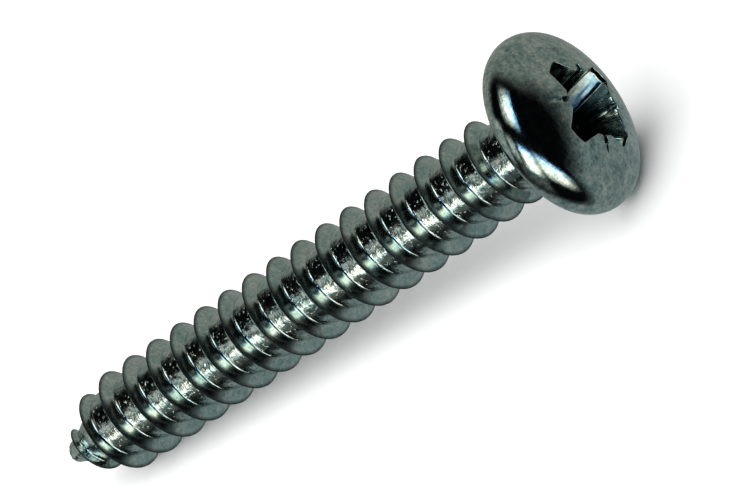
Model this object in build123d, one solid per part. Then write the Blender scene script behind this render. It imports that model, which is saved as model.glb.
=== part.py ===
from build123d import *
import math
import os

os.makedirs("parts", exist_ok=True)

# Pan head tapping screw, 3.9 x 25, cold-headed and thread-rolled from one wire.
# Millimetres. It is made with its axis along Z, the bearing face at z = 0, and
# the point down. lay_down() then puts it on its side on the floor.

# Shank
LENGTH = 25.2          # bearing face to point
MAJOR_D = 3.83         # over the thread crests
ROOT_D = 2.88          # at the thread root
PITCH = 1.3
FLANK_DEG = 30.0       # each flank, from the plane across the axis
NECK_D = 3.2           # plain wire left between thread and head
NECK_L = 0.5
NECK_FLARE = 0.36      # cone that carries the neck into the bearing face
RUNOUT = 1.5           # turns in which the thread fades out at the neck

# Point
POINT_L = 2.45         # cone from full root to blunt end
POINT_D = 0.64         # blunt end
POINT_CREST_L = 2.69   # length in which the crest comes up to full height
POINT_CREST_R = 0.36   # crest radius if carried on to the end
POINT_SWELL = 1.44     # 1 is a straight cone, more is fuller
FIRST_TURN = 0.13      # turns between the blunt end and the thread's start
RUNIN = 0.47           # turns in which the thread comes up there

# Head
HEAD_D = 7.31
HEAD_H = 2.5
RIM_R = 1.0            # rounding of the rim
RIM_Z = 0.75           # height of the widest circle over the bearing face

# Cross recess of type Z, number 2. Top sizes are those at the top of the dome.
RECESS_DEPTH = 1.9     # from there to the flat floor
WING_SPAN = 4.06       # across opposite wing ends, which lie on a cone
WING_FLOOR_SPAN = 2.2
WING_LIP_Z = 1.95      # height over the bearing face at which that cone turns upright
WING_W = 0.84          # width at a wing's end
WING_FLOOR_W = 0.7
FLARE_SPAN = 2.5       # where a wing's sides meet the round middle
FLARE_W = 1.4          # width there
FLARE_FLOOR_SPAN = 1.6
FLARE_FLOOR_W = 0.8
CORE_D = 2.8           # round middle
CORE_FLOOR_D = 1.9
CORE_TIP_H = 0.35      # cone below the floor
CORE_TIP_D = 0.2       # its flat tip
NOTCH_SPAN = 3.5       # across opposite corner notches between the wings
NOTCH_FLOOR_SPAN = 2.1
NOTCH_W = 0.24
TICK_W = 0.12          # fine marks on the dome, outside the notches
TICK_DEPTH = 0.07
TICK_IN = 1.5          # their near and far ends, from the axis
TICK_OUT = 2.12
RECESS_TURN = 20.5     # recess against the thread
TOOL_OVER = 0.4        # height to which the recess's sides are carried over the dome

# Where the thread begins, and how the screw is turned as it lies
THREAD_START = 101.7
LIE_TURN = -125.0

PATCHES = 9            # surface patches in one turn of the thread
LEFT = 0.012           # height left where the ridge has faded out

R = MAJOR_D / 2
ROOT_R = ROOT_D / 2
RIM_X = HEAD_D / 2 - RIM_R
HEAD_RISE = HEAD_H - RIM_Z
CROWN_R = (RIM_X ** 2 + HEAD_RISE ** 2 - RIM_R ** 2) / (2 * (HEAD_RISE - RIM_R))
TAN_FLANK = math.tan(math.radians(FLANK_DEG))
THREAD_END = (LENGTH - NECK_L) / PITCH


def lerp(a, b, x):
    """Value between a and b, x held between 0 and 1."""
    return a + (b - a) * min(1.0, max(0.0, x))


def root_radius(z):
    """Radius of the shank under the thread."""
    return lerp(POINT_D / 2, ROOT_R, (z + LENGTH) / POINT_L)


def crest_radius(turn):
    """Radius of the thread's crest, with the point's taper and both fades."""
    z = turn * PITCH - LENGTH
    x = min(1.0, max(0.0, (z + LENGTH) / POINT_CREST_L))
    full = POINT_CREST_R + (R - POINT_CREST_R) * (1 - (1 - x) ** POINT_SWELL)
    foot = root_radius(z) + LEFT
    fade = min((turn - FIRST_TURN) / RUNIN, (THREAD_END - turn) / RUNOUT, 1.0)
    return foot + max(0.0, full - foot) * math.sin(math.pi / 2 * max(0.0, fade))


def thread_point(turn, radius, shift):
    """Point at a number of turns from the end, shifted along the axis."""
    a = math.radians(THREAD_START) + turn * 2 * math.pi
    return Vector(radius * math.cos(a), radius * math.sin(a), turn * PITCH - LENGTH + shift)


def ridge_corner(corner, turn):
    """Corner of the ridge's section: 0 is its lower foot, 1 the crest, 2 the upper foot."""
    crest = crest_radius(turn)
    foot = root_radius(turn * PITCH - LENGTH)
    wide = (crest - foot) * TAN_FLANK
    return thread_point(turn, (foot, crest, foot)[corner], (-wide, 0, wide)[corner])


def ridge_edge(corner, start):
    """One patch's length of an edge of the ridge, as a cubic with true end directions."""
    stop = start + 1 / PATCHES
    step = 0.001
    first = ridge_corner(corner, start)
    final = ridge_corner(corner, stop)
    leaving = (ridge_corner(corner, start + step) - first) / (step * PATCHES)
    arriving = (final - ridge_corner(corner, stop - step)) / (step * PATCHES)
    return Edge.make_spline(
        [first, final], tangents=[leaving, arriving], parameters=[0, 1], scale=False
    )


def section_end(start, foot_edges):
    """Faces that close the rod over one turn: a winding one in patches and a flat one."""
    faces = []
    stops = [start + i / PATCHES for i in range(PATCHES + 1)]
    axis = [Vector(0, 0, ridge_corner(0, t).Z) for t in stops]
    for low, high, foot_edge in zip(axis[:-1], axis[1:], foot_edges):
        faces.append(Face.make_surface_from_curves(Edge.make_line(low, high), foot_edge))
    outline = [ridge_corner(c, start) for c in range(3)] + [ridge_corner(0, stops[-1])]
    faces.append(Face(Wire.make_polygon(outline + axis[::-1], close=True)))
    return faces


def threaded_rod():
    """Point and shank with the right-hand thread, longer than needed at both ends."""
    end = THREAD_END + 0.1
    turns = math.ceil(end) + 1
    patches = turns * PATCHES
    starts = [end - turns + i / PATCHES for i in range(patches + PATCHES)]
    edges = [[ridge_edge(corner, start) for start in starts] for corner in range(3)]
    faces = section_end(starts[0], edges[0][:PATCHES])
    faces += section_end(starts[patches], edges[0][patches:])
    for i in range(patches):
        next_foot = edges[0][i + PATCHES]
        strips = [edges[0][i], edges[1][i], edges[2][i], next_foot]
        for low, high in zip(strips[:-1], strips[1:]):
            faces.append(Face.make_surface_from_curves(low, high))
    below = Pos(0, 0, -LENGTH - MAJOR_D) * Box(2 * MAJOR_D, 2 * MAJOR_D, 2 * MAJOR_D)
    return Solid(Shell(faces)) - below


def head_blank():
    """Head and neck, turned about the axis."""
    crown_z = HEAD_H - CROWN_R
    join = math.atan2(RIM_Z - crown_z, RIM_X)
    low = -math.asin(RIM_Z / RIM_R)
    neck_r = NECK_D / 2

    def on_rim(angle):
        return (RIM_X + RIM_R * math.cos(angle), RIM_Z + RIM_R * math.sin(angle))

    def on_crown(angle):
        return (CROWN_R * math.cos(angle), crown_z + CROWN_R * math.sin(angle))

    core_r = ROOT_R * 0.7
    with BuildPart() as turned:
        with BuildSketch(Plane.XZ):
            with BuildLine():
                Polyline(
                    (0, HEAD_H),
                    (0, -NECK_L - (neck_r - core_r)),
                    (core_r, -NECK_L - (neck_r - core_r)),
                    (neck_r, -NECK_L),
                    (neck_r, -NECK_FLARE),
                    (neck_r + NECK_FLARE, 0),
                    on_rim(low),
                )
                ThreePointArc(on_rim(low), on_rim((low + join) / 2), on_rim(join))
                ThreePointArc(on_rim(join), on_crown((join + math.pi / 2) / 2), (0, HEAD_H))
            make_face()
        revolve(axis=Axis.Z)
    return turned.part


def carried_up(floor_size, top_size, over):
    """A recess size carried in a straight line to a height over the dome's top."""
    return floor_size + (top_size - floor_size) * (1 + over / RECESS_DEPTH)


def tapered_bar(half_plan, angle):
    """Bar that narrows down to the floor. half_plan gives its plan's corners on one
    side, each as the sizes along and across it: at the floor and at the top."""
    sections = []
    for over in (-RECESS_DEPTH, TOOL_OVER):
        corners = []
        for floor_x, top_x, floor_y, top_y in half_plan:
            x = carried_up(floor_x, top_x, over) / 2
            y = carried_up(floor_y, top_y, over) / 2
            corners.append((x, y))
        corners += [(-x, y) for x, y in corners[::-1]]
        corners += [(x, -y) for x, y in corners[::-1]]
        sections.append(Plane((0, 0, HEAD_H + over)) * Polygon(*corners, align=None))
    return Rot(0, 0, angle) * loft(sections)


def wing_bounds():
    """Round body whose side holds the ends of all wings: a cone, upright at the top."""
    floor_z = HEAD_H - RECESS_DEPTH
    cone_h = WING_LIP_Z - floor_z
    upright_h = HEAD_H + TOOL_OVER - WING_LIP_Z
    cone = Pos(0, 0, floor_z + cone_h / 2) * Cone(WING_FLOOR_SPAN / 2, WING_SPAN / 2, cone_h)
    return cone + Pos(0, 0, WING_LIP_Z + upright_h / 2) * Cylinder(WING_SPAN / 2, upright_h)


def wing_bar(angle):
    """Two opposite wings. Their straight sides run on outwards past the bounds."""
    reach = 1.2 * WING_SPAN
    floor_slope = (WING_FLOOR_W - FLARE_FLOOR_W) / (WING_FLOOR_SPAN - FLARE_FLOOR_SPAN)
    top_slope = (WING_W - FLARE_W) / (WING_SPAN - FLARE_SPAN)
    floor_w = WING_FLOOR_W + floor_slope * (reach - WING_FLOOR_SPAN)
    top_w = WING_W + top_slope * (reach - WING_SPAN)
    half_plan = [
        (reach, reach, floor_w, top_w),
        (FLARE_FLOOR_SPAN, FLARE_SPAN, FLARE_FLOOR_W, FLARE_W),
    ]
    return tapered_bar(half_plan, angle) & wing_bounds()


def recess_tool():
    """The punch that leaves the cross recess."""
    floor_z = HEAD_H - RECESS_DEPTH
    core_h = RECESS_DEPTH + TOOL_OVER
    core_top_r = carried_up(CORE_FLOOR_D, CORE_D, TOOL_OVER) / 2
    tip = Cone(CORE_TIP_D / 2, CORE_FLOOR_D / 2, CORE_TIP_H)
    tool = Pos(0, 0, floor_z + core_h / 2) * Cone(CORE_FLOOR_D / 2, core_top_r, core_h)
    tool += Pos(0, 0, floor_z - CORE_TIP_H / 2) * tip
    notch = [(NOTCH_FLOOR_SPAN, NOTCH_SPAN, NOTCH_W, NOTCH_W)]
    for angle in (0, 90):
        tool += wing_bar(angle)
        tool += tapered_bar(notch, angle + 45)
    return tool


def tick_tool(angle):
    """One fine mark on the dome, between two wings."""
    section = Plane.YZ * Polygon(
        (-TICK_W, TICK_DEPTH),
        (0, -TICK_DEPTH),
        (TICK_W, TICK_DEPTH),
        align=None,
    )
    middle = (TICK_IN + TICK_OUT) / 2
    drop = CROWN_R - math.sqrt(CROWN_R ** 2 - middle ** 2)
    slope = math.degrees(math.asin(middle / CROWN_R))
    bar = extrude(section, (TICK_OUT - TICK_IN) / 2, both=True)
    return Rot(0, 0, angle) * Pos(middle, 0, HEAD_H - drop) * Rot(0, slope, 0) * bar


def upright_screw():
    """The whole screw, with its axis along Z."""
    body = head_blank() + threaded_rod()
    body -= Rot(0, 0, RECESS_TURN) * recess_tool()
    for quarter in range(4):
        body -= Rot(0, 0, RECESS_TURN) * tick_tool(45 + 90 * quarter)
    return body


def resting_tilt():
    """Angle in degrees at which rim and thread both touch the floor."""
    # A crest faces the floor where its direction about the axis is that of +X.
    down = -(THREAD_START + LIE_TURN) / 360 % 1
    tilts = []
    for i in range(1, math.floor(THREAD_END)):
        turn = i + down
        along = turn * PITCH - LENGTH - RIM_Z
        across = RIM_X - crest_radius(turn)
        reach = math.hypot(along, across)
        tilt = math.atan2(along, across) + math.acos(-RIM_R / reach)
        tilts.append(math.degrees(tilt))
    return min(tilts)


def lay_down(body):
    """Put the screw on its side, head towards +X, rim and thread on the floor."""
    body = Rot(0, 90 - resting_tilt(), 0) * Rot(0, 0, LIE_TURN) * body
    box = body.bounding_box()
    middle = box.center()
    return Pos(-middle.X, -middle.Y, -box.min.Z) * body


screw = lay_down(upright_screw())
screw.label = "screw"
export_step(screw, "parts/screw.step")
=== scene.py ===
"""A pan head tapping screw of bright zinc plated steel, lying on a pale floor."""

import math

import bpy
import numpy as np
from mathutils import Matrix, Vector


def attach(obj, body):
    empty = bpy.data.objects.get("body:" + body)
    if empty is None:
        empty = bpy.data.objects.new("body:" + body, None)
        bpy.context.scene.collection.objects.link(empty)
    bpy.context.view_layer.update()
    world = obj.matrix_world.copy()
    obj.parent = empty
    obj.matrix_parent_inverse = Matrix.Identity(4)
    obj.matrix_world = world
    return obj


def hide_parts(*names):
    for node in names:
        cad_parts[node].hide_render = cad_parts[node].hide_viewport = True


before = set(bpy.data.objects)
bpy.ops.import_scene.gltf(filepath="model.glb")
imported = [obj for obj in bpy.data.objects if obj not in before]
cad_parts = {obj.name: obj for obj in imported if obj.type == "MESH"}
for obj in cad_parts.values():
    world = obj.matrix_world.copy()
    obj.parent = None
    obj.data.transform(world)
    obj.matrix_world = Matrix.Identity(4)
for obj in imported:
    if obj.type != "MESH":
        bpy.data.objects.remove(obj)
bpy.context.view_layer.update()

TURN = 2 * math.pi
METRES = 0.001         # metres in a millimetre
MILLIMETRES = 1000     # millimetres in a metre

# The screw's sizes, in millimetres, in its own frame: axis along Z, bearing face
# at z = 0, point down.
LENGTH = 25.2          # from the bearing face to the point's end
CREST_R = 1.915
ROOT_R = 1.44
PITCH = 1.3
TAN_FLANK = math.tan(math.radians(30.0))
LEAST_FLANK = 0.1      # least width that the mesh gives a flank
CREST_ROUND = 0.012    # rounding of the crest
FOOT_ROUND = 0.0045    # rounding between a flank and the root
FOOT_VARIES = 0.7      # share by which that rounding varies
FOOT_WAVE = 0.8        # wavelength of its variation
NECK_R = 1.6           # radius of the neck
NECK_L = 0.5           # length of the neck, with its flare
NECK_FLARE = 0.36      # size of the flare against the head
NECK_BLEND = 0.04      # rounding between the neck and the thread
NECK_REACH = 1.8       # length under the head in which the neck may show
RUNOUT = 1.5           # turns in which the thread fades under the head
RUNIN = 0.47           # turns in which the thread rises at the point
FIRST_TURN = 0.13      # turn at which it starts to rise
FADED_H = 0.012        # height over the root of the faded crest
POINT_L = 2.45         # length of the root's taper
POINT_R = 0.32         # radius of the point's end
POINT_CREST_L = 2.69   # length of the crest's taper
POINT_CREST_R = 0.36   # radius at which the crest's taper starts
POINT_SWELL = 1.44     # how full the crest's taper is
THREAD_START = math.radians(101.7)
THREAD_END = (LENGTH - NECK_L) / PITCH

# The root's unevenness, as pairs of wavelength and size.
LONG_WAVE = (0.45, 0.0028)
SHORT_WAVE = (0.2, 0.001)
TIP_WAVE = (0.5, 0.03)
TIP_WAVE_L = 1.6       # length of the point in which the last of them shows
TIP_WAVE_FADE = 1.2
NICK_WAVE = 0.55       # wavelength of the places of the crest's nicks
NICK_LEAST = 1.9       # how high those waves must be to make a nick
NICK_DEPTH = 0.03
NICK_WIDTH = 0.06
LINE_WIDTH = 0.046     # half width of the painted dark line along the crest
LINE_FADE = 0.15       # height of the thread at which that line is whole

# The head.
HEAD_R = 3.655
HEAD_H = 2.5
RIM_R = 1.0
RIM_Z = 0.75
RIM_X = HEAD_R - RIM_R
RISE = HEAD_H - RIM_Z
CROWN_R = (RIM_X ** 2 + RISE ** 2 - RIM_R ** 2) / (2 * (RISE - RIM_R))
CROWN_Z = HEAD_H - CROWN_R

# The cross recess. Each pair is half a size at the floor and at the top of the dome.
RECESS_DEPTH = 1.9
FLOOR_Z = HEAD_H - RECESS_DEPTH
RECESS_TURN = math.radians(20.5)
WING_R = (1.1, 2.03)   # the second from WING_LIP_Z up
WING_LIP_Z = 1.95
WING_Y = (0.35, 0.42)
FLARE_X = (0.8, 1.25)
FLARE_Y = (0.4, 0.7)
CORE_R = (0.95, 1.4)
CORE_TIP_R = 0.1
CORE_TIP_H = 0.35
NOTCH_X = (1.05, 1.75)
NOTCH_Y = (0.12, 0.12)
TICK_W = 0.12
TICK_DEPTH = 0.07
TICK_IN = 1.5
TICK_OUT = 2.12
TICK_IN_FADE = 0.06
TICK_OUT_FADE = 0.2
CHATTER = 0.0045       # unevenness of the recess's walls, as a share of the radius
CHATTER_FADE = 0.05    # depth under the mouth at which it is whole
CHATTER_STRETCH = ((1, 1, 0.6), (1, 1, 0.5))    # it runs along the walls
CHATTER_WAVE = (0.3, 0.15)
CHATTER_SHORT = 0.7    # size of the shorter of its waves, where the longer's is 1
BOTTOM_DIP = 0.02      # depth of the recess's middle under the floor's first row
MOUTH_GUESS = 0.3      # first guess at how far the mouth is under the dome's top
MOUTH_ROUNDS = 12      # rounds in which its height is then found

# How the screw lies: its axis is tilted, and it is turned about its axis.
TILT = math.radians(4.285)
LIE_TURN = math.radians(-125.0)

# The mesh. Rows are given as shares of the width of the face that they cross.
COLUMNS = 144          # columns in one turn of the thread
SPARE_TURNS = (2, 1.2)    # turns of mesh before the thread's start and past its end
JOIN_Z = -0.34         # height at which the shank's mesh meets the head's
FLANK_ROWS = (0.05, 0.13, 0.35, 0.6, 0.82, 0.96, 1.1, 1.28)
ROOT_ROWS = (0.18, 0.4, 0.62, 0.84)
FLOOR_ROWS = (0.12, 0.35, 0.6, 0.8, 0.95)
WALL_ROWS = (0.0, 0.02, 0.05, 0.12, 0.25, 0.4, 0.55, 0.7, 0.83, 0.93, 0.98)
LIP_ROWS = (0.0, 0.08, 0.3, 0.6, 0.8, 0.9, 1.0)
DOME_ROWS = (0.035, 0.07, 0.12, 0.2, 0.3, 0.42, 0.55, 0.7, 0.85, 1.0)
RIM_STEPS = 21
UNDER_ROWS = (0.02, 0.06, 0.3, 0.6, 0.9, 0.97)
FLARE_ROWS = (0.0, 0.12, 0.4, 0.7, 1.0)
RECESS_STEPS = (6, 16, 8, 3, 3)    # columns between the corners of an eighth
TINY = 1e-9            # keeps a sum from dividing by zero

# Rows of the head's mesh at which its section has a corner.
WALL_ROW = len(FLOOR_ROWS)
LIP_ROW = WALL_ROW + len(WALL_ROWS)
MOUTH_ROW = LIP_ROW + len(LIP_ROWS) - 1
UNDER_ROW = MOUTH_ROW + len(DOME_ROWS) + RIM_STEPS


def smooth_max(a, b, blend):
    """The larger of a and b, with the corner between them rounded."""
    return 0.5 * (a + b + np.sqrt((a - b) ** 2 + blend ** 2))


def waves(points, wavelength, seed, count=24):
    """Smooth noise of about unit size: waves of about one length in seeded directions."""
    rng = np.random.default_rng(seed)
    way = rng.normal(size=(count, 3))
    way /= np.linalg.norm(way, axis=1)[:, None]
    way *= TURN / (wavelength * rng.uniform(0.75, 1.35, count))[:, None]
    phase = rng.uniform(0, TURN, count)
    height = np.sin(points.reshape(-1, 3) @ way.T + phase).sum(1) / math.sqrt(count / 2)
    return height.reshape(points.shape[:-1])


def root_radius(z):
    """Radius of the shank under the thread."""
    return np.clip(POINT_R + (ROOT_R - POINT_R) * (z + LENGTH) / POINT_L, POINT_R, ROOT_R)


def crest_radius(turn):
    """Radius of the thread's crest, with the point's taper and both fades."""
    z = turn * PITCH
    x = np.clip(z / POINT_CREST_L, 0, 1)
    full = POINT_CREST_R + (CREST_R - POINT_CREST_R) * (1 - (1 - x) ** POINT_SWELL)
    foot = root_radius(z - LENGTH) + FADED_H
    fade = np.minimum((turn - FIRST_TURN) / RUNIN, (THREAD_END - turn) / RUNOUT)
    return foot + np.maximum(0, full - foot) * np.sin(math.pi / 2 * np.clip(fade, 0, 1))


def shank_rows(crest, crest_z):
    """Height over the crest of every row of every column, from halfway to the turn
    below to halfway to the turn above."""
    wide = np.maximum((crest - root_radius(crest_z)) * TAN_FLANK, LEAST_FLANK)
    foot = wide * FLANK_ROWS[-1]
    half = PITCH / 2
    upper = [wide * f for f in FLANK_ROWS]
    upper += [foot + (half - foot) * f for f in ROOT_ROWS]
    lower = [-half + 0 * wide] + [-row for row in upper[::-1]]
    return np.stack(lower + [0 * wide] + upper, 1)


def shank_radius(crest, shift, z, at):
    """Radius of the shank at the points of its mesh, with the marks of its making."""
    root = root_radius(z)
    ridge = crest[:, None] + (CREST_ROUND - np.sqrt(CREST_ROUND ** 2 + shift ** 2)) / TAN_FLANK
    over_root = ridge - root
    near_end = np.clip((-z - LENGTH + TIP_WAVE_L) / TIP_WAVE_FADE, 0, 1)
    rough = waves(at, LONG_WAVE[0], 11) * LONG_WAVE[1]
    rough = rough + waves(at, SHORT_WAVE[0], 12) * SHORT_WAVE[1]
    rough = rough + near_end * TIP_WAVE[1] * waves(at, TIP_WAVE[0], 14)
    nick = np.clip(waves(at, NICK_WAVE, 15) - NICK_LEAST, 0, 1)
    ridge = ridge - NICK_DEPTH * nick * np.exp(-(shift / NICK_WIDTH) ** 2)
    foot_round = FOOT_ROUND * (1 + FOOT_VARIES * np.clip(waves(at, FOOT_WAVE, 16), -1, 1))
    radius = smooth_max(ridge, root + rough, foot_round)
    neck = NECK_R + np.clip(z + NECK_FLARE, 0, None) - np.clip(-NECK_L - z, 0, None)
    radius = np.where(z > -NECK_REACH, smooth_max(radius, neck, NECK_BLEND), radius)
    return radius, over_root


def shank_mesh():
    """The threaded shank: vertices, quads, the crest's height over the root and the
    painted dark line along the crest at each vertex, and the vertex rings at its top and its
    end."""
    first = -SPARE_TURNS[0] * COLUMNS
    last = int(math.ceil((THREAD_END + SPARE_TURNS[1]) * COLUMNS))
    i = np.arange(first, last + COLUMNS + 1)
    turn = i / COLUMNS
    crest = crest_radius(turn)
    crest_z = turn * PITCH - LENGTH
    shift = shank_rows(crest, crest_z)
    z = crest_z[:, None] + shift
    angle = THREAD_START + turn * TURN
    c, s = np.cos(angle)[:, None], np.sin(angle)[:, None]
    root = root_radius(z)
    at = np.stack([root * c, root * s, z], -1)
    r, over_root = shank_radius(crest, shift, z, at)
    height_here = crest - root[:, shift.shape[1] // 2]
    # The painted dark line along the crest: painted shade.
    line = np.exp(-(shift / LINE_WIDTH) ** 4) * np.clip(height_here / LINE_FADE, 0, 1)[:, None]

    # What would pass the top or the end falls on the ring there.
    z = np.clip(z, -LENGTH, JOIN_Z)
    at_top, at_end = z >= JOIN_Z, z <= -LENGTH
    top_r = NECK_R + NECK_FLARE + JOIN_Z
    end_r = root_radius(np.array(-LENGTH))
    r = np.where(at_end, end_r, np.where(at_top, top_r, r))
    points = np.stack([r * c, r * s, z], -1)
    column = i % COLUMNS
    top_ring = z.size + np.arange(COLUMNS)
    end_ring = z.size + COLUMNS + np.arange(COLUMNS)
    ids = np.arange(z.size).reshape(z.shape)
    ids = np.where(at_top, top_ring[column][:, None], ids)
    ids = np.where(at_end, end_ring[column][:, None], ids)

    # The row after a column's last is the first row one turn later.
    ids = np.concatenate([ids[:-COLUMNS], ids[COLUMNS:, :1]], 1)
    quads = np.stack([ids[:-1, :-1], ids[1:, :-1], ids[1:, 1:], ids[:-1, 1:]], -1).reshape(-1, 4)
    ring_angle = THREAD_START + np.arange(COLUMNS) * TURN / COLUMNS
    circle = np.stack([np.cos(ring_angle), np.sin(ring_angle)], -1)
    top = np.column_stack([circle * top_r, np.full(COLUMNS, JOIN_Z)])
    end = np.column_stack([circle * end_r, np.full(COLUMNS, -LENGTH)])
    verts = np.concatenate([points.reshape(-1, 3), top, end])
    none = np.zeros(2 * COLUMNS)
    over_root = np.concatenate([over_root.reshape(-1), none])
    line = np.concatenate([line.reshape(-1), none])
    return verts, quads, over_root, line, top_ring, end_ring


def sized(pair, z):
    """A recess half size at a height."""
    share = (z - HEAD_H + RECESS_DEPTH) / RECESS_DEPTH
    return pair[0] + (pair[1] - pair[0]) * share


def wing_radius(z):
    """Radius of the cone, upright at the top, on which the wings end."""
    share = np.clip((z - FLOOR_Z) / (WING_LIP_Z - FLOOR_Z), 0, 1)
    return WING_R[0] + (WING_R[1] - WING_R[0]) * share


def wing_side(z):
    """Two points of a wing's straight side at a height: past its end and at the flare."""
    reach = 1.2 * WING_R[1]
    slopes = [(WING_Y[k] - FLARE_Y[k]) / (WING_R[k] - FLARE_X[k]) for k in (0, 1)]
    half = [WING_Y[k] + slopes[k] * (reach - WING_R[k]) for k in (0, 1)]
    return reach + 0 * z, sized(half, z), sized(FLARE_X, z), sized(FLARE_Y, z)


def key_angles(z):
    """Angles in one eighth of the recess at which its outline has a corner."""
    x1, y1, x2, y2 = wing_side(z)
    dx, dy = x1 - x2, y1 - y2
    a = dx ** 2 + dy ** 2
    b = x2 * dx + y2 * dy
    c = x2 ** 2 + y2 ** 2 - wing_radius(z) ** 2
    t = (np.sqrt(b ** 2 - a * c) - b) / a
    wing = np.arctan2(y2 + t * dy, x2 + t * dx)
    flare = np.arctan2(sized(FLARE_Y, z), sized(FLARE_X, z))
    eighth = math.pi / 4
    notch_in = eighth - np.arcsin(sized(NOTCH_Y, z) / sized(CORE_R, z))
    notch_out = eighth - np.arctan2(sized(NOTCH_Y, z), sized(NOTCH_X, z))
    return [0 * z, wing, flare, notch_in, notch_out, eighth + 0 * z]


def column_angles(z):
    """Angle of every column over one quarter of the recess, which follow its corners."""
    keys = key_angles(z)
    out = []
    for low, high, steps in zip(keys[:-1], keys[1:], RECESS_STEPS):
        for k in range(steps):
            out.append(low + (high - low) * k / steps)
    eighth = np.stack(out, -1)
    last = np.full(eighth.shape[:-1] + (1,), math.pi / 4)
    mirrored = math.pi / 2 - eighth[..., :0:-1]
    return np.concatenate([eighth, last, mirrored], -1)


def wing_reach(angle, z):
    """Distance from the axis to a wing's outline in a direction."""
    c, s = np.abs(np.cos(angle)), np.abs(np.sin(angle))
    x1, y1, x2, y2 = wing_side(z)
    nx, ny = y2 - y1, x1 - x2
    side = (nx * x1 + ny * y1) / (nx * c + ny * s + TINY)
    flat = y2 / (s + TINY)
    return np.minimum(np.minimum(wing_radius(z), side), flat)


def notch_reach(angle, z):
    """Distance from the axis to a corner notch's outline in a direction."""
    off = angle - math.pi / 4
    c, s = np.abs(np.cos(off)), np.abs(np.sin(off))
    return np.minimum(sized(NOTCH_X, z) / (c + TINY), sized(NOTCH_Y, z) / (s + TINY))


def recess_reach(angle, z):
    """Distance from the axis to the wall of the recess, for angles in 0 to 90 degrees."""
    reach = np.maximum(wing_reach(angle, z), wing_reach(math.pi / 2 - angle, z))
    return np.maximum(np.maximum(reach, notch_reach(angle, z)), sized(CORE_R, z))


def dome_height(r):
    """Height of the crown over the bearing face."""
    return CROWN_Z + np.sqrt(CROWN_R ** 2 - r ** 2)


def tick_cut(angle, r):
    """Depth of the fine marks outside the notches."""
    off = np.abs(r * np.sin(angle - math.pi / 4))
    groove = np.clip(1 - off / (TICK_W / 2), 0, 1)
    inner = np.clip((r - TICK_IN) / TICK_IN_FADE, 0, 1)
    outer = np.clip((TICK_OUT - r) / TICK_OUT_FADE, 0, 1)
    return TICK_DEPTH * groove * (inner * outer)


def own_columns(heights):
    """Angle of every column, each at its own height."""
    return np.array([column_angles(np.array(h))[k] for k, h in enumerate(heights)])


def mouth_heights():
    """Height of the recess's mouth on the dome in every column, found in steps."""
    mouth = np.full(2 * sum(RECESS_STEPS), HEAD_H - MOUTH_GUESS)
    for _ in range(MOUTH_ROUNDS):
        mouth = dome_height(recess_reach(own_columns(mouth), mouth))
    return mouth


def quarter_rows():
    """Rows of (angle, radius, height) from the axis out to the dome, over one quarter."""
    rows = []
    a_floor = column_angles(np.array(FLOOR_Z))
    r_floor = recess_reach(a_floor, FLOOR_Z)
    tip_r = sized(CORE_R, FLOOR_Z)
    for f in FLOOR_ROWS:
        r = r_floor * f
        dip = CORE_TIP_H * np.clip((tip_r - r) / (tip_r - CORE_TIP_R), 0, 1)
        rows.append((a_floor, r, FLOOR_Z - dip))
    mouth = mouth_heights()
    heights = [FLOOR_Z + (WING_LIP_Z - FLOOR_Z) * f + 0 * mouth for f in WALL_ROWS]
    heights += [WING_LIP_Z + (mouth - WING_LIP_Z) * f for f in LIP_ROWS]
    for h in heights:
        a = own_columns(h)
        rows.append((a, recess_reach(a, h), h))
    a_mouth, r_mouth = rows[-1][0], rows[-1][1]
    for f in DOME_ROWS:
        r = r_mouth + (RIM_X - r_mouth) * f
        rows.append((a_mouth, r, dome_height(r) - tick_cut(a_mouth, r)))
    return rows


def head_points():
    """Rows of points of the head, from the recess's floor out over the dome, round the
    rim and in to the neck, before any rounding."""
    rows = []
    for a, r, h in quarter_rows():
        angle = np.concatenate([a + k * math.pi / 2 for k in range(4)])
        rows.append((angle, np.tile(r, 4), np.tile(h, 4)))
    angle = rows[-1][0]
    high = math.atan2(RIM_Z - CROWN_Z, RIM_X)
    low = -math.asin(RIM_Z / RIM_R)
    for k in range(1, RIM_STEPS + 1):
        t = high + (low - high) * k / RIM_STEPS
        rows.append((angle, RIM_X + RIM_R * math.cos(t), RIM_Z + RIM_R * math.sin(t)))
    under_r = RIM_X + RIM_R * math.cos(low)
    flare_r = NECK_R + NECK_FLARE
    for f in UNDER_ROWS:
        rows.append((angle, under_r + (flare_r - under_r) * f, 0.0))
    for f in FLARE_ROWS:
        rows.append((angle, flare_r + JOIN_Z * f, JOIN_Z * f))
    points = []
    for a, r, h in rows:
        h = np.broadcast_to(h, a.shape)
        points.append(np.stack([r * np.cos(a), r * np.sin(a), h], -1))
    return np.array(points)


def soften(points, rows, rounds):
    """Rounds the corners of the head's section in the given rows: each of their points
    moves towards its neighbours in the rows beside it and in its own."""
    for _ in range(rounds):
        mid = 0.5 * (np.roll(points, 1, 1) + np.roll(points, -1, 1))
        new = points.copy()
        for k in rows:
            across = 0.5 * (points[k - 1] + points[k + 1])
            new[k] = 0.5 * points[k] + 0.35 * across + 0.15 * mid[k]
        points = new
    return points


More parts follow.
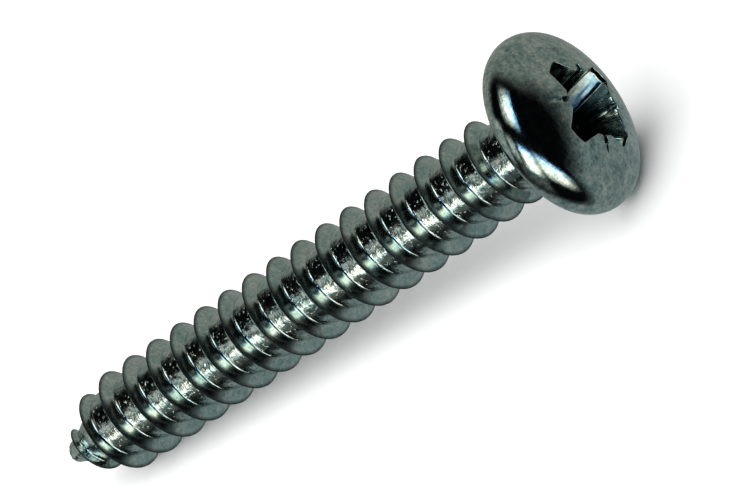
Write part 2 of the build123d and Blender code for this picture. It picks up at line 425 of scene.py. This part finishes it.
def finished_head():
    """Rows of points of the head, rounded and turned, and their depth in the recess."""
    points = head_points()
    depth = points[MOUTH_ROW][None, :, 2] - points[..., 2]
    depth[MOUTH_ROW:] = 0
    points = soften(points, range(WALL_ROW - 1, WALL_ROW + 2), 3)
    points = soften(points, range(LIP_ROW - 1, LIP_ROW + 2), 2)
    points = soften(points, range(MOUTH_ROW - 1, MOUTH_ROW + 2), 3)
    # The punch's chatter on the walls.
    wall = np.clip(depth / CHATTER_FADE, 0, 1) * (np.arange(len(points)) >= WALL_ROW)[:, None]
    chatter = waves(points * CHATTER_STRETCH[0], CHATTER_WAVE[0], 21)
    chatter += CHATTER_SHORT * waves(points * CHATTER_STRETCH[1], CHATTER_WAVE[1], 22)
    points[..., :2] *= (1 + CHATTER * wall * chatter / 1.5)[..., None]
    points = soften(points, range(UNDER_ROW - 1, UNDER_ROW + 3), 3)
    points = soften(points, range(UNDER_ROW + 4, UNDER_ROW + 9), 3)
    c, s = math.cos(RECESS_TURN), math.sin(RECESS_TURN)
    x, y = points[..., 0].copy(), points[..., 1].copy()
    points[..., 0], points[..., 1] = c * x - s * y, s * x + c * y
    return points, depth


def zip_rings(outer, outer_angle, inner, inner_angle):
    """Triangles between two rings whose vertices are sorted by angle."""
    faces = []
    i = j = 0
    n, m = len(outer), len(inner)
    while i < n or j < m:
        next_i = outer_angle[(i + 1) % n] + (TURN if i + 1 >= n else 0)
        next_j = inner_angle[(j + 1) % m] + (TURN if j + 1 >= m else 0)
        if j >= m or (i < n and next_i <= next_j):
            faces.append((outer[i % n], inner[j % m], outer[(i + 1) % n]))
            i += 1
        else:
            faces.append((outer[i % n], inner[j % m], inner[(j + 1) % m]))
            j += 1
    return faces


def screw_mesh():
    """The whole screw as one closed mesh in its own frame, in millimetres, with what
    the material asks of each vertex."""
    verts, quads, over_root, line, top_ring, end_ring = shank_mesh()
    points, depth = finished_head()
    base = len(verts)
    rows, n = depth.shape
    ids = base + np.arange(rows * n).reshape(rows, n)
    after = np.roll(ids, -1, 1)
    head = np.stack([ids[:-1], ids[1:], after[1:], after[:-1]], -1).reshape(-1, 4)
    recess_centre = base + rows * n
    end_centre = recess_centre + 1
    bottom = points[0, :, 2].mean() - BOTTOM_DIP
    centres = [[0, 0, bottom], [0, 0, -LENGTH]]
    verts = np.concatenate([verts, points.reshape(-1, 3), centres])
    over_root = np.concatenate([over_root, np.full(rows * n + 2, -1.0)])
    line = np.concatenate([line, np.zeros(rows * n + 2)])
    depth = np.concatenate([np.zeros(base), depth.reshape(-1), [RECESS_DEPTH, 0]])

    # A quad whose corners fell together on a ring becomes a triangle, or goes.
    faces = [tuple(dict.fromkeys(q)) for q in np.concatenate([quads, head]).tolist()]
    faces = [f for f in faces if len(f) > 2]
    faces += [(recess_centre, ids[0, k], after[0, k]) for k in range(n)]
    faces += [(end_ring[(k + 1) % COLUMNS], end_ring[k], end_centre) for k in range(COLUMNS)]
    head_angle = np.arctan2(points[-1, :, 1], points[-1, :, 0]) % TURN
    top_angle = (THREAD_START + np.arange(COLUMNS) * TURN / COLUMNS) % TURN
    o, t = np.argsort(head_angle), np.argsort(top_angle)
    faces += zip_rings(ids[-1][o], head_angle[o], top_ring[t], top_angle[t])

    used = np.zeros(len(verts), bool)
    used[[v for f in faces for v in f]] = True
    new_id = np.cumsum(used) - 1
    faces = [tuple(int(new_id[v]) for v in f) for f in faces]
    marks = {"over_root": over_root[used], "crest_shade_line": line[used], "recess_depth": depth[used]}
    return verts[used], faces, marks


def lie_matrix():
    """Where the screw lies in the shared frame, from its own frame, in millimetres."""
    turn = Matrix.Rotation(LIE_TURN, 4, "Z")
    tip_over = Matrix.Rotation(math.pi / 2 - TILT, 4, "Y")
    axis = Vector((math.cos(TILT), 0, math.sin(TILT)))
    end = min(v.co.dot(axis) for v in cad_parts["screw"].data.vertices) * MILLIMETRES
    z = RIM_X * math.cos(TILT) + RIM_R - RIM_Z * math.sin(TILT)
    x = (end + LENGTH - z * axis.z) / axis.x
    return Matrix.Translation((x, 0, z)) @ tip_over @ turn


def make_piece(lie):
    verts, faces, marks = screw_mesh()
    rotation = np.array(lie.to_3x3())
    placed = (verts @ rotation.T + np.array(lie.translation)) * METRES
    mesh = bpy.data.meshes.new("screw_metal")
    mesh.from_pydata(placed.tolist(), [], faces)
    mesh.validate()
    mesh.polygons.foreach_set("use_smooth", [True] * len(mesh.polygons))
    mesh.update()
    for name, values in marks.items():
        layer = mesh.attributes.new(name, "FLOAT", "POINT")
        layer.data.foreach_set("value", values.astype(np.float32))
    own = mesh.attributes.new("own_place", "FLOAT_VECTOR", "POINT")
    own.data.foreach_set("vector", verts.astype(np.float32).reshape(-1))
    made = bpy.data.objects.new("screw_metal", mesh)
    bpy.context.scene.collection.objects.link(made)
    return made


LIE = lie_matrix()
piece = make_piece(LIE)
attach(piece, "root")
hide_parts("screw")


class Nodes:
    """Short ways to write a node tree's sums."""

    def __init__(self, tree):
        self.tree = tree

    def feed(self, socket, value):
        if isinstance(value, bpy.types.NodeSocket):
            self.tree.links.new(value, socket)
        else:
            socket.default_value = value

    def math(self, operation, *values, clamp=False):
        node = self.tree.nodes.new("ShaderNodeMath")
        node.operation = operation
        node.use_clamp = clamp
        for socket, value in zip(node.inputs, values):
            self.feed(socket, value)
        return node.outputs[0]

    def product(self, *values):
        out = values[0]
        for value in values[1:]:
            out = self.math("MULTIPLY", out, value)
        return out

    def total(self, *values):
        out = values[0]
        for value in values[1:]:
            out = self.math("ADD", out, value)
        return out

    def less(self, value, share):
        """1 less a share of the value."""
        return self.math("SUBTRACT", 1.0, self.product(value, share))

    def ramp(self, value, start, stop):
        """0 at start to 1 at stop, with soft ends. start may be the larger."""
        node = self.tree.nodes.new("ShaderNodeMapRange")
        node.interpolation_type = "SMOOTHSTEP"
        low, high = (0.0, 1.0) if start < stop else (1.0, 0.0)
        self.feed(node.inputs["Value"], value)
        node.inputs["From Min"].default_value = min(start, stop)
        node.inputs["From Max"].default_value = max(start, stop)
        node.inputs["To Min"].default_value = low
        node.inputs["To Max"].default_value = high
        return node.outputs[0]

    def dot(self, vector, fixed):
        node = self.tree.nodes.new("ShaderNodeVectorMath")
        node.operation = "DOT_PRODUCT"
        self.tree.links.new(vector, node.inputs[0])
        node.inputs[1].default_value = fixed
        return node.outputs["Value"]

    def scaled(self, vector, factors):
        node = self.tree.nodes.new("ShaderNodeVectorMath")
        node.operation = "MULTIPLY"
        self.tree.links.new(vector, node.inputs[0])
        node.inputs[1].default_value = factors
        return node.outputs[0]

    def attribute(self, name, output="Fac"):
        node = self.tree.nodes.new("ShaderNodeAttribute")
        node.attribute_name = name
        return node.outputs[output]

    def noise(self, vector, scale, detail, roughness):
        """Noise of about -1 to 1."""
        node = self.tree.nodes.new("ShaderNodeTexNoise")
        self.tree.links.new(vector, node.inputs["Vector"])
        node.inputs["Scale"].default_value = scale
        node.inputs["Detail"].default_value = detail
        node.inputs["Roughness"].default_value = roughness
        centred = self.math("SUBTRACT", node.outputs[0], 0.5)
        return self.math("MULTIPLY", centred, 4.0)

    def mix(self, factor, a, b, blend="MIX"):
        node = self.tree.nodes.new("ShaderNodeMix")
        node.data_type = "RGBA"
        node.blend_type = blend
        self.feed(node.inputs[0], factor)
        self.feed(node.inputs[6], a)
        self.feed(node.inputs[7], b)
        return node.outputs[2]

    def grey(self, value):
        node = self.tree.nodes.new("ShaderNodeCombineColor")
        for socket in node.inputs[:3]:
            self.tree.links.new(value, socket)
        return node.outputs[0]

    def colours(self, value, stops):
        node = self.tree.nodes.new("ShaderNodeValToRGB")
        points = node.color_ramp.elements
        while len(points) < len(stops):
            points.new(1.0)
        for point, (place, colour) in zip(points, stops):
            point.position = place
            point.color = (*colour, 1)
        self.feed(node.inputs[0], value)
        return node.outputs[0]


# The plating's marks: the share of brightness that each gives or takes, and what the
# head has more of it. The last four are painted shade, not marks: a dark line along
# the crest, a darker head, and darkening down into the recess.
COOL_ZINC = (0.415, 0.555, 0.55, 1)
WARM_ZINC = (0.595, 0.59, 0.545, 1)
CLOUD_SHADE, CLOUD_SHADE_HEAD = 0.18, 0.14
PATCH_SHADE, PATCH_SHADE_HEAD = 0.18, 0.20
MOTTLE_SHADE, MOTTLE_SHADE_HEAD = 0.18, 0.10
GRAIN_SHADE = 0.14
ROLLED_SHADE = 0.05
SPECK_DARK = 0.45
# Painted shade: a near-black line along the crest.
CREST_PAINTED_SHADE = 0.92
# Painted shade: the whole head is made darker than the shank.
HEAD_PAINTED_SHADE = 0.12
MOUTH_PAINTED_SHADE = 0.25      # painted shade from the recess's mouth down to 0.12 mm
DEEP_PAINTED_SHADE = 0.6        # more painted shade from 0.2 to 1.3 mm down

# Its roughness, and what each mark adds to it.
BASE_ROUGH = 0.10
PATCH_ROUGH = 0.02
GRAIN_ROUGH = 0.015
ROOT_ROUGH = 0.02
CREST_ROUGH = 0.30
SPECK_ROUGH = 0.06
LEAST_ROUGH = 0.06

# How high each mark stands, in metres: all over, and more in the root and near the
# point.
MARK_H, MARK_H_ROOT = 1.5e-7, 1.2e-6
LUMP_H, LUMP_H_ROOT, LUMP_H_TIP = 3.5e-7, 1.8e-6, 4.0e-6
PIT_H, PIT_H_ROOT = 3.5e-7, 0.9e-6
DENT_H = 10.0e-6
ROLLED_H_HEAD = 1.0e-6
CLOUD_H = 1.2e-6
TIP_MARKS = (2.2, 0.9)    # from the end: where the point's own marks start, and are whole
TIP_SHARE = 0.8


def zinc_material():
    """Bright zinc plate: mottled, finely scratched, duller along the crest, uneven and
    marked by the rolling dies in the root. Painted shade darkens a line along the crest,
    the head, and the recess the more the deeper it goes."""
    material = bpy.data.materials.new("zinc_plate")
    material.use_nodes = True
    tree = material.node_tree
    shader = tree.nodes["Principled BSDF"]
    n = Nodes(tree)
    own = n.attribute("own_place", "Vector")
    over = n.attribute("over_root")
    crest = n.attribute("crest_shade_line")
    recess = n.attribute("recess_depth")
    head = n.ramp(over, -0.6, -0.9)
    root = n.product(n.ramp(over, 0.03, -0.02), n.math("SUBTRACT", 1.0, head))

    cloud = n.noise(own, 1.1, 4.0, 0.6)
    patch = n.noise(own, 4.2, 3.0, 0.6)
    mottle = n.noise(own, 9.0, 2.0, 0.55)
    grain = n.noise(own, 19.0, 2.0, 0.6)
    rolled = n.noise(n.scaled(own, (1.6, 1.6, 14.0)), 1.0, 3.0, 0.6)
    speck = n.ramp(n.noise(own, 7.3, 2.0, 0.5), 0.6, 0.95)

    warm = n.ramp(n.total(n.product(cloud, 0.7), n.product(patch, 0.6)), -0.9, 0.9)
    base = n.mix(warm, COOL_ZINC, WARM_ZINC)
    shade = n.total(
        1.0,
        n.product(cloud, n.total(CLOUD_SHADE, n.product(head, CLOUD_SHADE_HEAD))),
        n.product(patch, n.total(PATCH_SHADE, n.product(head, PATCH_SHADE_HEAD))),
        n.product(mottle, n.total(MOTTLE_SHADE, n.product(head, MOTTLE_SHADE_HEAD))),
        n.product(grain, GRAIN_SHADE),
        n.product(rolled, ROLLED_SHADE),
    )
    # Painted shade in the recess, darker the deeper under the mouth.
    recess_painted_shade = n.total(
        n.product(n.ramp(recess, 0.0, 0.12), MOUTH_PAINTED_SHADE),
        n.product(n.ramp(recess, 0.2, 1.3), DEEP_PAINTED_SHADE),
    )
    shade = n.product(
        shade,
        n.less(speck, SPECK_DARK),
        # painted shade along the crest
        n.less(crest, CREST_PAINTED_SHADE),
        # painted shade on the head
        n.less(head, HEAD_PAINTED_SHADE),
        n.math("SUBTRACT", 1.0, recess_painted_shade),
    )
    tree.links.new(n.mix(1.0, base, n.grey(shade), "MULTIPLY"), shader.inputs["Base Color"])
    shader.inputs["Metallic"].default_value = 1.0
    rough = n.total(
        BASE_ROUGH,
        n.product(patch, PATCH_ROUGH),
        n.product(grain, GRAIN_ROUGH),
        n.product(root, ROOT_ROUGH),
        n.product(crest, CREST_ROUGH),
        n.product(speck, SPECK_ROUGH),
    )
    tree.links.new(n.math("MAXIMUM", rough, LEAST_ROUGH), shader.inputs["Roughness"])

    # The point's first turns are uneven all over, the rest of the thread in the root.
    tip = n.ramp(n.dot(own, (0, 0, 1)), TIP_MARKS[0] - LENGTH, TIP_MARKS[1] - LENGTH)
    rolled_face = n.math("MAXIMUM", root, n.product(tip, TIP_SHARE))
    die_marks = n.noise(n.scaled(own, (2.2, 2.2, 11.0)), 1.0, 1.0, 0.5)
    lumps = n.noise(own, 4.6, 1.0, 0.5)
    pits = n.noise(own, 13.0, 2.0, 0.6)
    dents = n.ramp(n.noise(n.scaled(own, (6.0, 6.0, 9.0)), 1.0, 1.0, 0.5), 0.42, 0.95)
    lump_h = n.total(LUMP_H, n.product(root, LUMP_H_ROOT), n.product(tip, LUMP_H_TIP))
    height = n.total(
        n.product(die_marks, n.total(MARK_H, n.product(root, MARK_H_ROOT))),
        n.product(lumps, lump_h),
        n.product(pits, n.total(PIT_H, n.product(root, PIT_H_ROOT))),
        n.product(dents, rolled_face, DENT_H),
        n.product(rolled, head, n.ramp(recess, 0.03, 0.0), ROLLED_H_HEAD),
        n.product(cloud, CLOUD_H),
    )
    bump = tree.nodes.new("ShaderNodeBump")
    bump.inputs["Strength"].default_value = 1.0
    bump.inputs["Distance"].default_value = 1.0
    tree.links.new(height, bump.inputs["Height"])
    tree.links.new(bump.outputs["Normal"], shader.inputs["Normal"])
    return material


piece.data.materials.append(zinc_material())

# Camera, from the photograph: the angle between the view and the screw's axis, the
# roll of the picture, and the distance and scale at the bearing face's centre, with
# that centre's place in the picture.
VIEW_ANGLE = math.radians(59.182)
ROLL = math.radians(34.2675)
DISTANCE = 305.69      # in millimetres
SCALE = 27.4963        # pixels in a millimetre
HEAD_X, HEAD_Y = 546.849, 133.127
WIDE, HIGH = 750, 499
SENSOR = 36.0
CLIP = (0.01, 10)


def make_camera(lie):
    """The main camera, and the directions to its right, up and back to it."""
    rotation = lie.to_3x3()
    near = rotation @ Vector((1, 0, 0))
    axis = rotation @ Vector((0, 0, 1))
    back = math.sin(VIEW_ANGLE) * near + math.cos(VIEW_ANGLE) * axis
    along = -math.cos(VIEW_ANGLE) * near + math.sin(VIEW_ANGLE) * axis
    across = back.cross(along)
    right = math.cos(ROLL) * along - math.sin(ROLL) * across
    up = math.sin(ROLL) * along + math.cos(ROLL) * across
    focal_px = SCALE * DISTANCE
    place = lie.translation + DISTANCE * back
    # The camera is turned from the bearing face's centre to the middle of the picture.
    aim = focal_px * back - (WIDE / 2 - HEAD_X) * right - (HEAD_Y - HIGH / 2) * up
    turned = back.rotation_difference(aim.normalized())
    data = bpy.data.cameras.new("camera")
    data.sensor_width = SENSOR
    data.lens = focal_px / WIDE * SENSOR
    data.dof.use_dof = False
    data.clip_start, data.clip_end = CLIP
    camera = bpy.data.objects.new("camera", data)
    bpy.context.scene.collection.objects.link(camera)
    matrix = Matrix((turned @ right, turned @ up, turned @ back)).transposed().to_4x4()
    matrix.translation = place * METRES
    camera.matrix_world = matrix
    bpy.context.scene.camera = camera
    return right, up, back


RIGHT, UP, BACK = make_camera(LIE)

FLOOR_REACH = 0.8
FLOOR_CORNERS = [(-1, -1), (1, -1), (1, 1), (-1, 1)]
FLOOR_COLOUR = (0.92, 0.92, 0.92, 1)
FLOOR_ROUGH = 0.9


def make_floor():
    """A pale floor, which is not seen in the metal and casts no shadow."""
    corners = [(FLOOR_REACH * x, FLOOR_REACH * y, 0) for x, y in FLOOR_CORNERS]
    mesh = bpy.data.meshes.new("floor")
    mesh.from_pydata(corners, [], [(0, 1, 2, 3)])
    floor = bpy.data.objects.new("floor", mesh)
    bpy.context.scene.collection.objects.link(floor)
    material = bpy.data.materials.new("floor")
    material.use_nodes = True
    shader = material.node_tree.nodes["Principled BSDF"]
    shader.inputs["Base Color"].default_value = FLOOR_COLOUR
    shader.inputs["Roughness"].default_value = FLOOR_ROUGH
    mesh.materials.append(material)
    floor.visible_glossy = False
    floor.visible_shadow = False


make_floor()

# Studio light. A direction is given by two angles in degrees, as on a round map with
# the main view's direction in the middle: to the right and up.
# The grey wall is a little warmer on the upper left than on the lower right.
WALL_WARM = (0.278, 0.313, 0.288, 1)
WALL_COOL = (0.250, 0.311, 0.306, 1)
WALL_CHANGE = (-110.0, 70.0)   # of up less right
# The dark room behind the camera, with rounded corners: its middle, how far it reaches
# to each side, and the soft edge between it and the wall.
ROOM = (0.0018, 0.0022, 0.0025, 1)
ROOM_X, ROOM_RIGHT, ROOM_LEFT = -20.0, 92.0, 85.0
ROOM_Y, ROOM_UP, ROOM_DOWN = -13.0, 88.0, 90.0
ROOM_CORNER = 4.0
ROOM_EDGE = (0.54, 1.55)
# The lights: left edge (dark, full), right edge (full, dark), bottom edge (dark, full),
# top edge (full, dark), strength, and the way in which the colour changes, if it does.
LIGHTS = [
    ((-66, -36), (-22, -11), (4, 27), (34, 62), 2.85, "right"),
    ((-48, -38), (-26, -4), (-63.5, -51.5), (-26, -14), 3.1, "up"),
    ((-16, 12), (32, 62), (-56, -36), (-20, -8.5), 2.2, "up"),
    ((-80, -50), (-20, 0), (-100, -70), (-60, -44), 0.15, ""),
    ((-78, -71), (-59, -51), (-58, -44), (-24, -12), 0.72, ""),
    ((-120, -95), (-86, -78), (-80, -60), (-14, 2), 0.5, ""),
]
PLAIN_TINT = (0.90, 1.0, 0.94, 1)
TINTS = [
    (0.0, (0.70, 1.0, 1.12)),
    (0.2, (0.97, 0.98, 0.84)),
    (0.45, (0.98, 1.0, 0.86)),
    (0.66, (0.80, 1.0, 0.99)),
    (0.84, (0.50, 0.86, 1.15)),
    (1.0, (0.18, 0.42, 1.2)),
]


def studio_world():
    """The room that the metal mirrors. Neither the camera nor the floor sees it."""
    world = bpy.data.worlds.new("studio")
    world.use_nodes = True
    tree = world.node_tree
    n = Nodes(tree)
    way = tree.nodes.new("ShaderNodeTexCoord").outputs["Generated"]
    x, y, z = n.dot(way, RIGHT), n.dot(way, UP), n.dot(way, BACK)
    angle = n.math("MULTIPLY", n.math("ARCCOSINE", z), 180 / math.pi)
    flat = n.math("SQRT", n.total(n.product(x, x), n.product(y, y)))
    scale = n.math("DIVIDE", angle, n.math("MAXIMUM", flat, 1e-5))
    x, y = n.product(x, scale), n.product(y, scale)

    def reach(place, middle, high, low):
        """Share of the way from the room's middle to its side, on either side."""
        off = n.math("ADD", place, -middle)
        return n.math("MAXIMUM", n.math("DIVIDE", off, high), n.math("DIVIDE", off, -low))

    out = n.total(
        n.math("POWER", reach(x, ROOM_X, ROOM_RIGHT, ROOM_LEFT), ROOM_CORNER),
        n.math("POWER", reach(y, ROOM_Y, ROOM_UP, ROOM_DOWN), ROOM_CORNER),
    )
    warm = n.ramp(n.math("SUBTRACT", y, x), *WALL_CHANGE)
    colour = n.mix(n.ramp(out, *ROOM_EDGE), ROOM, n.mix(warm, WALL_COOL, WALL_WARM))
    for left, right, bottom, top, strength, change in LIGHTS:
        mask = n.product(
            n.ramp(x, *left), n.ramp(x, *right[::-1]), n.ramp(y, *bottom), n.ramp(y, *top[::-1]),
        )
        tint = PLAIN_TINT
        if change:
            place, low, high = (x, left[0], right[1])
            if change == "up":
                place, low, high = (y, bottom[0], top[1])
            share = n.math("DIVIDE", n.math("SUBTRACT", place, low), high - low, clamp=True)
            tint = n.colours(share, TINTS)
        light = n.mix(1.0, tint, n.grey(n.product(mask, strength)), "MULTIPLY")
        colour = n.mix(1.0, colour, light, "ADD")
    tree.links.new(colour, tree.nodes["Background"].inputs["Color"])
    world.cycles_visibility.camera = False
    world.cycles_visibility.diffuse = False
    return world


bpy.context.scene.world = studio_world()


def soft_lamp(name, place, size, power):
    """A square lamp that lights the floor and isn't seen in the metal."""
    data = bpy.data.lights.new(name, "AREA")
    data.shape = "SQUARE"
    data.size = size
    data.energy = power
    lamp = bpy.data.objects.new(name, data)
    bpy.context.scene.collection.objects.link(lamp)
    lamp.location = place
    lamp.rotation_mode = "QUATERNION"
    lamp.rotation_quaternion = (-Vector(place)).to_track_quat("-Z", "Y")
    lamp.visible_glossy = False
    lamp.visible_camera = False


soft_lamp("lamp_over", (-0.1, -0.1, 0.55), 1.3, 11.0)
soft_lamp("lamp_front", (-0.1, -0.6, 0.35), 0.5, 2.6)
bpy.context.scene.view_settings.view_transform = "Standard"
